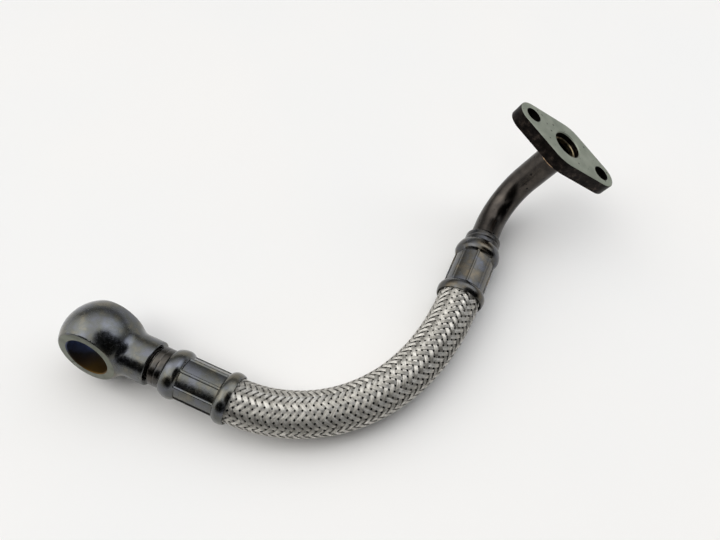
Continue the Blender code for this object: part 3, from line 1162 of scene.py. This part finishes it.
@dataclass
class BraidedHose:
    """The hose's steel cover: sixteen strands each way, of seven wires each, over two under two."""

    radius: float = 8.15 * MM
    squeezed_radius: float = 6.3 * MM
    reach_x: float = 62.3 * MM
    reach_y: float = 66.3 * MM
    banjo_handle: float = 23.3 * MM
    tube_handle: float = 52.9 * MM
    carriers: int = 16
    lead: float = 41.2 * MM
    wires: int = 7
    strand_width: float = 1.3 * MM
    wire_radius: float = 0.1 * MM
    weave_lift: float = 0.19 * MM
    weave_steepness: float = 3.0
    weave_clock: float = math.radians(-1.9)
    strand_clock: float = math.radians(3.75)
    tuck: float = 4.4 * MM
    straight_until: float = 2.1 * MM
    squeezed_from: float = 5.0 * MM
    turn_step: float = math.radians(5.0)
    wander: float = 0.02 * MM
    wander_knots: int = 12
    strand_shade: float = 0.06
    wire_shade: float = 0.12
    wire_height: float = 0.8
    line_points: int = 600
    inside_points: int = 12
    seed: int = 7

    def centre_line(self, layout: "Layout") -> np.ndarray:
        """Points along the hose, straight in each lip and curved between.

        Args:
            layout: where the line's pieces lie.

        Returns:
            Points close together, one row each.
        """
        start, end = layout.banjo_end, layout.tube_end
        handles = [
            start.translation,
            start @ Vector((0.0, 0.0, -self.banjo_handle)),
            end @ Vector((0.0, 0.0, -self.tube_handle)),
            end.translation,
        ]
        inside = np.linspace(self.tuck, 0.2 * MM, self.inside_points).tolist()
        first = [start @ Vector((0.0, 0.0, depth)) for depth in inside]
        last = [end @ Vector((0.0, 0.0, depth)) for depth in inside[::-1]]
        return np.vstack([np.array(first), bezier(handles, self.line_points), np.array(last)])

    def strand(
        self,
        hand: Hand,
        number: int,
        line: tuple[np.ndarray, ...],
        chance: np.random.Generator,
    ) -> np.ndarray:
        """Works out one strand's rings of points.

        Args:
            hand: which way it winds.
            number: its place among those of its hand.
            line: distances, points, sides and third directions along the hose.
            chance: the source of its small wander.

        Returns:
            The rings, shaped (rings, points, 3).
        """
        run, points, sides, thirds = line
        pace = math.tau / self.lead
        total = run[-1] * pace
        turns = np.linspace(0.0, total, max(2, round(total / self.turn_step)) + 1)
        along = turns / pace
        angles = hand.value * turns + self.strand_clock + math.tau * number / self.carriers
        centre, side, third = (
            np.stack([np.interp(along, run, row) for row in rows.T], axis=1)
            for rows in (points, sides, thirds)
        )
        out = unit(np.cos(angles)[:, None] * side + np.sin(angles)[:, None] * third)
        swing = np.cos(self.carriers / 2 * (angles - self.weave_clock))
        wave = np.tanh(self.weave_steepness * swing)
        depth = np.minimum(along, run[-1] - along)
        inside = np.clip(self.tuck - depth - self.straight_until, 0.0, None)
        squeeze = self.radius - self.squeezed_radius
        taper = squeeze * inside / (self.squeezed_from - self.straight_until)
        middle = self.radius - self.wire_radius - self.weave_lift - taper
        radius = middle + hand.value * self.weave_lift * wave
        path = centre + radius[:, None] * out
        across = unit(np.cross(out, unit(np.gradient(path, axis=0))))
        knots = chance.normal(0.0, self.wander, self.wander_knots)
        drift = np.interp(along, np.linspace(0.0, run[-1], len(knots)), knots)
        section = self.section()
        lateral = section[None, :, 0] + drift[:, None]
        round_share = np.sin(math.atan2(math.tau * self.radius, self.lead)) ** 2
        sag = lateral**2 * (1.0 - round_share) / (2.0 * self.radius)
        height = section[None, :, 1] - sag
        sideways = lateral[:, :, None] * across[:, None, :]
        return path[:, None, :] + sideways + height[:, :, None] * out[:, None, :]

    def section(self) -> np.ndarray:
        """A strand's section: its wires side by side on top and a plain back.

        Returns:
            (sideways, upwards) points round the section.
        """
        width, pitch = self.strand_width, self.strand_width / self.wires
        top = self.wire_height * self.wire_radius
        found = [(-width / 2, 0.0)]
        for wire in range(self.wires):
            middle = (wire + 0.5) * pitch - width / 2
            found += [(middle - 0.3 * pitch, top), (middle + 0.3 * pitch, top)]
            found.append((middle + 0.5 * pitch, 0.0))
        found += [(0.46 * width, -top), (-0.46 * width, -top)]
        return np.array(found)

    def build(self, layout: "Layout", hand: Hand) -> Piece:
        """Makes all the strands that wind one way.

        Args:
            layout: where the line's pieces lie.
            hand: which way they wind.

        Returns:
            One object that holds the strands.
        """
        points = self.centre_line(layout)
        _, sides, thirds = carried_frames(points, UP)
        run = np.concatenate([[0.0], np.cumsum(np.linalg.norm(np.diff(points, axis=0), axis=1))])
        chance = np.random.default_rng(self.seed + hand.value)
        corners, faces, shades = [], [], []
        for number in range(self.carriers):
            rings = self.strand(hand, number, (run, points, sides, thirds), chance)
            count, steps = rings.shape[:2]
            faces += ring_faces(count, steps, sum(map(len, corners)))
            corners.append(rings.reshape(-1, 3))
            own = chance.normal(0.0, self.strand_shade) + chance.normal(0.0, self.wire_shade, steps)
            shades.append(np.tile(own, count))
        name = f"braid_strands_{hand.name.lower()}"
        mesh = bpy.data.meshes.new(name)
        mesh.from_pydata(np.vstack(corners).tolist(), [], faces)
        outward(mesh)
        shade = mesh.attributes.new(WIRE_SHADE, "FLOAT", "POINT")
        shade.data.foreach_set("value", np.concatenate(shades).astype(np.float32))
        return smoothed(linked(name, mesh), 75.0)

    def dress(self, strands: Piece, finish: bpy.types.Material) -> None:
        """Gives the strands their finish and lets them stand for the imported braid.

        Args:
            strands: the strands of one hand.
            finish: the wire's material.
        """
        strands.data.materials.append(finish)
        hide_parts("steel_braid")


@dataclass
class FeedTube:
    """The bent steel tube, its end recessed in the flange."""

    radius: float = 5.7 * MM
    bore_radius: float = 4.75 * MM
    heading: float = math.radians(86.4)
    straight: float = 5.5 * MM
    bend_radius: float = 20.6 * MM
    bend_angle: float = math.radians(75.5)
    bend_lift: float = math.radians(64.6)
    to_face: float = 21.7 * MM
    recess: float = 1.9 * MM
    edge_break: float = 0.2 * MM
    bend_steps: int = 48
    steps: int = 96
    wetted: float = 1.3 * MM

    def build(self, layout: "Layout") -> Piece:
        """Makes the tube with its wall.

        Args:
            layout: where the line's pieces lie.

        Returns:
            The tube.
        """
        points = layout.tube_line
        tangents, sides, thirds = carried_frames(points, UP)
        tangents[0], tangents[-1] = tangents[1], tangents[-2]
        angles = np.linspace(0.0, math.tau, self.steps, endpoint=False)
        outward_rays = (
            np.cos(angles)[None, :, None] * sides[:, None, :]
            + np.sin(angles)[None, :, None] * thirds[:, None, :]
        )
        outer = points[:, None, :] + self.radius * outward_rays
        inner = (points[:, None, :] + self.bore_radius * outward_rays)[::-1]
        step = self.edge_break
        lip = outward_rays[-1]
        end, direction = points[-1], tangents[-1]
        outer[-1] = end - step * direction + self.radius * lip
        inner[0] = end - step * direction + self.bore_radius * lip
        ends = np.stack(
            [end + (self.radius - step) * lip, end + (self.bore_radius + step) * lip]
        )
        return smoothed(skin("drawn_feed_tube", np.concatenate([outer, ends, inner]), True), 30.0)

    def dress(self, tube: Piece, layout: "Layout") -> None:
        """Gives the tube its finish, and its cut end and the bore's mouth theirs.

        Args:
            tube: the built tube.
            layout: where the line's pieces lie.
        """
        tube.data.materials.append(DarkDrawnTube().material())
        tube.data.materials.append(BrightTubeEnd().material())
        to_local = layout.flange.inverted()
        for face in tube.data.polygons:
            spot = to_local @ face.center
            inward = math.hypot(spot.x, spot.y) < self.radius - 0.05 * MM
            face.material_index = int(inward and spot.z > -self.recess - self.wetted)
        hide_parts("feed_tube")


@dataclass
class TwoBoltFlange:
    """The flange's plate, with its two bolt holes and the chamfered port, and its braze."""

    thickness: float = 5.2 * MM
    bolt_spacing: float = 35.2 * MM
    hole_radius: float = 3.2 * MM
    end_radius: float = 6.2 * MM
    centre_radius: float = 12.0 * MM
    roll: float = math.radians(56.4)
    port_chamfer: float = 0.2 * MM
    edge_break: float = 0.3 * MM
    hole_break: float = 0.15 * MM
    braze_width: float = 1.7 * MM
    braze_height: float = 2.8 * MM
    steps: int = 96

    def outline(self, inset: float) -> np.ndarray:
        """Gives the plate's outline.

        Args:
            inset: how far it is drawn in.

        Returns:
            (x, y) points of a large round centre and two small round ends.
        """
        half = self.bolt_spacing / 2
        tangent = math.acos((self.centre_radius - self.end_radius) / half)
        found = []
        for side in (0.0, math.pi):
            bolt = (half * math.cos(side), 0.0)
            found += arc(bolt, self.end_radius - inset, side - tangent, side + tangent, 40)
            turns = (side + tangent, side + math.pi - tangent)
            found += arc((0.0, 0.0), self.centre_radius - inset, *turns, 24)
        return np.array(found)

    def hole_cutter(self, place: Matrix, radius: float, flare: float) -> Piece:
        """Makes a cutter for a hole through the plate, flared at both faces.

        Args:
            place: the frame on the hole's axis, at the face.
            radius: the hole's radius.
            flare: how deep each flare is.

        Returns:
            The cutter.
        """
        thick = self.thickness
        faces, ends = (0.0, -thick), (thick, -2 * thick)
        return flared_cutter(place, radius, flare, faces, ends, self.steps)

    def build_plate(self, place: Matrix, tube_radius: float) -> Piece:
        """Makes the plate.

        Args:
            place: the flange's frame, with Z out of its face.
            tube_radius: the outer radius of the tube that it holds.

        Returns:
            The plate.
        """
        edge = self.edge_break
        levels = [
            (edge, 0.0),
            (0.3 * edge, -0.3 * edge),
            (0.0, -edge),
            (0.0, edge - self.thickness),
            (0.3 * edge, 0.3 * edge - self.thickness),
            (edge, -self.thickness),
        ]
        rings = []
        for inset, height in levels:
            flat = self.outline(inset)
            rings.append(np.column_stack([flat, np.full(len(flat), height)]))
        plate = skin("two_bolt_plate", placed(np.array(rings), place))
        port_flare = 2 * self.port_chamfer
        cutters = [self.hole_cutter(place, tube_radius + GAP, port_flare)]
        for side in (-1, 1):
            spot = place @ Matrix.Translation((side * self.bolt_spacing / 2, 0.0, 0.0))
            cutters.append(self.hole_cutter(spot, self.hole_radius, self.hole_break))
        return smoothed(carved(plate, cutters), 20.0)

    def dress_plate(self, plate: Piece, place: Matrix) -> None:
        """Gives the ground face and the scaled sides their finishes.

        Args:
            plate: the built plate.
            place: the flange's frame.
        """
        plate.data.materials.clear()
        for finish in (CastSkin(), GroundSteel(), ShadedBoltHole()):
            plate.data.materials.append(finish.material())
        to_local = place.inverted()
        turn = to_local.to_3x3()
        for face in plate.data.polygons:
            spot, facing = to_local @ face.center, turn @ face.normal
            from_bolt = math.hypot(abs(spot.x) - self.bolt_spacing / 2, spot.y)
            in_hole = from_bolt < self.hole_radius + 0.1 * MM
            # Index 2 gives the bolt holes' walls their painted shade
            face.material_index = 2 if in_hole else int(facing.z > 0.4)
        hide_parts("tube_flange")

    def build_braze(self, place: Matrix, tube_radius: float) -> Piece:
        """Makes the uneven fillet of braze at the flange's back.

        Args:
            place: the flange's frame.
            tube_radius: the outer radius of the tube.

        Returns:
            The fillet.
        """
        foot = -self.thickness
        inner = tube_radius + 0.02 * MM
        width, height = self.braze_width + GAP, self.braze_height + GAP
        profile = [(inner, foot)]
        for share in np.linspace(0.0, 1.0, 11):
            swing = share * math.pi / 2
            out = inner + width * (1.0 - math.sin(swing))
            profile.append((out, foot - height * (1.0 - math.cos(swing))))

        def uneven(radii: np.ndarray, heights: np.ndarray, angles: np.ndarray) -> np.ndarray:
            """Lets the fillet's width wander round the tube."""
            wander = 0.12 * np.sin(2 * angles + 0.7) + 0.07 * np.sin(5 * angles + 2.0) - 0.1
            return radii + (radii - inner) * wander

        fillet = turned("braze_fillet", profile, place, self.steps, uneven, wrap=True)
        return smoothed(fillet, 50.0)

    def dress_braze(self, fillet: Piece) -> None:
        """Gives the braze its finish.

        Args:
            fillet: the built fillet.
        """
        fillet.data.materials.append(BrassBraze().material())
        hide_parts("flange_braze_ring")


@dataclass
class Layout:
    """Where the pieces lie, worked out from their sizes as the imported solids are."""

    eye_piece: BanjoEye
    ferrule: CrimpedFerrule
    hose: BraidedHose
    tube: FeedTube
    plate: TwoBoltFlange
    lip_lift: float = 0.25 * MM
    groove: float = 1.0 * MM
    eye: Matrix = field(init=False)
    banjo_end: Matrix = field(init=False)
    tube_end: Matrix = field(init=False)
    flange: Matrix = field(init=False)
    tube_line: np.ndarray = field(init=False)

    def __post_init__(self) -> None:
        """Works out the frames of the eye, the hose's two ends and the flange."""
        eye, ferrule = self.eye_piece, self.ferrule
        neck_face = ferrule.length + self.groove
        to_lip = eye.neck_end + neck_face
        centre = FOOTPRINT_SHIFT + Vector((0.0, 0.0, eye.ball_radius))
        bore = Vector((0.0, -math.cos(eye.tilt), math.sin(eye.tilt)))
        drop = (eye.ball_radius - ferrule.lip_radius - self.lip_lift) / to_lip
        aside = math.asin(-math.tan(eye.tilt) * drop / math.sqrt(1.0 - drop * drop))
        neck = heading(aside, -math.asin(drop))
        lip = centre + to_lip * neck
        lie = -math.asin(
            (ferrule.lip_radius - ferrule.bead_radius) / (ferrule.bead_crest - ferrule.lip_crest)
        )
        axis = heading(self.tube.heading, lie)
        far_lip = Vector((lip.x + self.hose.reach_x, lip.y + self.hose.reach_y, 0.0))
        far_lip.z = FOOTPRINT_SHIFT.z + ferrule.lip_radius
        self.eye = axis_frame(centre, neck, bore)
        # The eye's frame has X along the bore and Z along the neck
        self.banjo_end = axis_frame(lip, -neck, UP)
        self.tube_end = axis_frame(far_lip, axis, UP)
        self.route_tube(far_lip + neck_face * axis, axis)

    def route_tube(self, begin: Vector, axis: Vector) -> None:
        """Works out the tube's centre line and the flange's frame.

        Args:
            begin: where the tube starts.
            axis: the direction in which it starts.
        """
        tube = self.tube
        right = axis.cross(UP).normalized()
        lift = right.cross(axis)
        side = math.cos(tube.bend_lift) * right + math.sin(tube.bend_lift) * lift
        bend = begin + tube.straight * axis
        route = [begin + share * (bend - begin) for share in (0.0, 0.25, 0.5, 0.75)]
        for angle in np.linspace(0.0, tube.bend_angle, tube.bend_steps + 1).tolist():
            along = tube.bend_radius * math.sin(angle) * axis
            route.append(bend + along + tube.bend_radius * (1.0 - math.cos(angle)) * side)
        normal = math.cos(tube.bend_angle) * axis + math.sin(tube.bend_angle) * side
        face = route[-1] + tube.to_face * normal
        last = face - tube.recess * normal
        after = route[-1]
        route += [after + share * (last - after) for share in np.linspace(0.1, 1.0, 12).tolist()]
        level = normal.cross(UP).normalized()
        rise = level.cross(normal)
        long_axis = math.cos(self.plate.roll) * level - math.sin(self.plate.roll) * rise
        self.flange = axis_frame(face, normal, long_axis)
        self.tube_line = np.array([list(point) for point in route])


@dataclass(frozen=True)
class Lobe:
    """A round part of the room that is lighter or darker than the wall behind it.

    Its middle is at an azimuth and an elevation in degrees, and it runs from nothing to full
    between two cosines of the angle from there.
    """

    azimuth: float
    elevation: float
    starts: float
    full: float
    light: Triple = (0.0, 0.0, 0.0)

    def share(self, tree: Tree, place: Socket) -> Socket:
        """Marks this part of the room.

        Args:
            tree: the world's node tree.
            place: the direction of each point of the room.

        Returns:
            A socket that runs from 0 outside to 1 inside.
        """
        towards = heading(math.radians(self.azimuth), math.radians(self.elevation))
        facing = add_node(
            tree,
            "ShaderNodeVectorMath",
            {0: place, 1: tuple(towards.normalized())},
            operation="DOT_PRODUCT",
        )
        mark = add_node(
            tree,
            "ShaderNodeMapRange",
            {"Value": facing.outputs["Value"], "From Min": self.starts, "From Max": self.full},
            interpolation_type="SMOOTHSTEP",
        )
        return mark.outputs["Result"]


@dataclass
class Studio:
    """The table, the room with its soft light, and the camera.

    The room is what the photograph's dark steel mirrors: a bright ceiling, dim walls, a window at
    each side, whoever stands at the camera, and the dark wall in front of the line.
    """

    table_core: float = 0.05
    table_reach: float = 3.0
    table_depth: float = 0.02
    table_rings: int = 14
    table_steps: int = 96
    room_shine: float = 1.95
    walls: tuple[tuple[float, float], ...] = (
        (0.0, 0.40),
        (0.08, 0.34),
        (0.17, 0.15),
        (0.36, 0.18),
        (0.55, 0.47),
        (0.72, 0.75),
        (0.88, 0.97),
        (1.0, 1.0),
    )
    windows: tuple[Lobe, ...] = (
        Lobe(-165.0, 33.0, 0.74, 0.95, (0.65, 0.65, 0.64)),
        Lobe(46.0, 45.0, 0.80, 0.96, (0.39, 0.42, 0.47)),
    )
    onlooker: tuple[Lobe, ...] = (
        Lobe(-16.0, 60.0, 0.845, 0.93),
        Lobe(-18.0, 30.0, 0.80, 0.90),
        Lobe(-98.0, 18.0, 0.67, 0.82),
    )
    onlooker_colour: str = "#0c0c0c"
    onlooker_foot: tuple[float, float] = (0.10, 0.24)
    camera_mm: Triple = (37.36, -94.16, 196.06)
    camera_right: Triple = (0.93256, 0.36074, 0.01382)
    camera_up: Triple = (-0.32423, 0.82012, 0.47146)
    sensor_width: float = 36.0
    focal_pixels: float = 532.72

    def build_table(self) -> Piece:
        """Makes the table top, a wide disc at the height that the line rests on.

        Returns:
            The table top.
        """
        rings = []
        for radius in np.geomspace(self.table_core, self.table_reach, self.table_rings):
            turn = np.linspace(0.0, math.tau, self.table_steps, endpoint=False)
            flat = np.zeros_like(turn)
            rings.append(np.stack([radius * np.cos(turn), radius * np.sin(turn), flat], axis=1))
        under = [ring - np.array([0.0, 0.0, self.table_depth]) for ring in rings[::-1]]
        table = skin("table_top", np.array(rings + under))
        table.data.materials.append(PaleTable().material())
        return table

    def build_room(self) -> None:
        """Makes the room around the table, which gives all the light."""
        world = bpy.data.worlds.new("soft studio")
        bpy.context.scene.world = world
        world.use_nodes = True
        tree = world.node_tree
        tree.nodes.clear()
        place = add_node(tree, "ShaderNodeTexCoord").outputs["Generated"]
        height = add_node(tree, "ShaderNodeSeparateXYZ", {"Vector": place}).outputs["Z"]
        stops = [(level, grey(light)) for level, light in self.walls]
        lit = add_node(tree, "ShaderNodeValToRGB", {"Fac": height}, stops=stops).outputs["Color"]
        for window in self.windows:
            lit = add_node(
                tree,
                "ShaderNodeVectorMath",
                {0: window.light, 1: window.share(tree, place), 2: lit},
                operation="MULTIPLY_ADD",
            ).outputs["Vector"]
        shares = [part.share(tree, place) for part in self.onlooker]
        dark = shares[0]
        for share in shares[1:]:
            terms = {0: dark, 1: share}
            dark = add_node(tree, "ShaderNodeMath", terms, operation="MAXIMUM").outputs[0]
        # The dark parts fade out above the horizon, so that a low view has a plain pale backdrop
        start, full = self.onlooker_foot
        above = add_node(
            tree,
            "ShaderNodeMapRange",
            {"Value": height, "From Min": start, "From Max": full},
            interpolation_type="SMOOTHSTEP",
        )
        terms = {0: dark, 1: above.outputs["Result"]}
        dark = add_node(tree, "ShaderNodeMath", terms, operation="MULTIPLY").outputs[0]
        shade = add_node(
            tree,
            "ShaderNodeMix",
            {"Factor": dark, 6: lit, 7: linear(self.onlooker_colour)},
            data_type="RGBA",
        )
        glow = add_node(
            tree, "ShaderNodeBackground", {"Color": shade.outputs[2], "Strength": self.room_shine}
        )
        add_node(tree, "ShaderNodeOutputWorld", {"Surface": glow.outputs[0]})

    def build_camera(self) -> Piece:
        """Makes the camera at the photograph's viewing angle.

        Returns:
            The camera.
        """
        data = bpy.data.cameras.new("camera")
        data.sensor_fit = "HORIZONTAL"
        data.sensor_width = self.sensor_width
        data.lens = self.sensor_width * self.focal_pixels / PHOTO_WIDTH
        data.clip_start = 0.01
        camera = bpy.data.objects.new("camera", data)
        bpy.context.scene.collection.objects.link(camera)
        right, up = (Vector(row).normalized() for row in (self.camera_right, self.camera_up))
        turn = Matrix((right, up, right.cross(up))).transposed()
        camera.matrix_world = Matrix.Translation(Vector(self.camera_mm) * MM) @ turn.to_4x4()
        bpy.context.scene.camera = camera
        return camera

    def build(self) -> None:
        """Makes all of the studio."""
        self.build_table()
        self.build_room()
        self.build_camera()
        bpy.context.scene.view_settings.view_transform = "Standard"


def report(piece: Piece) -> None:
    """Lets a piece ride on the part's one body and logs how large it is.

    Args:
        piece: the dressed piece.
    """
    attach(piece, "root")
    faces = sum(len(face.vertices) - 2 for face in piece.data.polygons)
    log.info("%s: %d triangles", piece.name, faces)


def dress_carried(node: str, finish: bpy.types.Material) -> None:
    """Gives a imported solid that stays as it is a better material.

    Args:
        node: the solid's name.
        finish: its material.
    """
    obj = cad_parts[node]
    for place in obj.material_slots:
        place.material = finish
    log.info("%s: kept, with %s", node, finish.name)


def main() -> None:
    """Builds the studio and each piece of the line in order."""
    logging.basicConfig(level=logging.INFO, format="%(name)s: %(message)s", stream=sys.stdout)
    Studio().build()
    eye_maker, hose = BanjoEye(), BraidedHose()
    tube_maker, plate_maker = FeedTube(), TwoBoltFlange()
    layout = Layout(eye_maker, CrimpedFerrule(), hose, tube_maker, plate_maker)

    eye = eye_maker.build(layout.eye)
    eye_maker.dress(eye, layout.eye)
    report(eye)
    for end, place in ((HoseEnd.BANJO, layout.banjo_end), (HoseEnd.TUBE, layout.tube_end)):
        maker = CrimpedFerrule(end)
        shell = maker.build(place)
        maker.dress(shell, place)
        report(shell)
    wire = StainlessWire().material()
    for hand in Hand:
        strands = hose.build(layout, hand)
        hose.dress(strands, wire)
        report(strands)
    tube = tube_maker.build(layout)
    tube_maker.dress(tube, layout)
    report(tube)
    plate = plate_maker.build_plate(layout.flange, tube_maker.radius)
    plate_maker.dress_plate(plate, layout.flange)
    report(plate)
    fillet = plate_maker.build_braze(layout.flange, tube_maker.radius)
    plate_maker.dress_braze(fillet)
    report(fillet)

    dress_carried("hose_liner", HoseRubber().material())
    turned_steel = TurnedSteel().material()
    for node in ("banjo_hose_tail", "tube_hose_tail"):
        dress_carried(node, turned_steel)


if __name__ == "__main__":
    main()
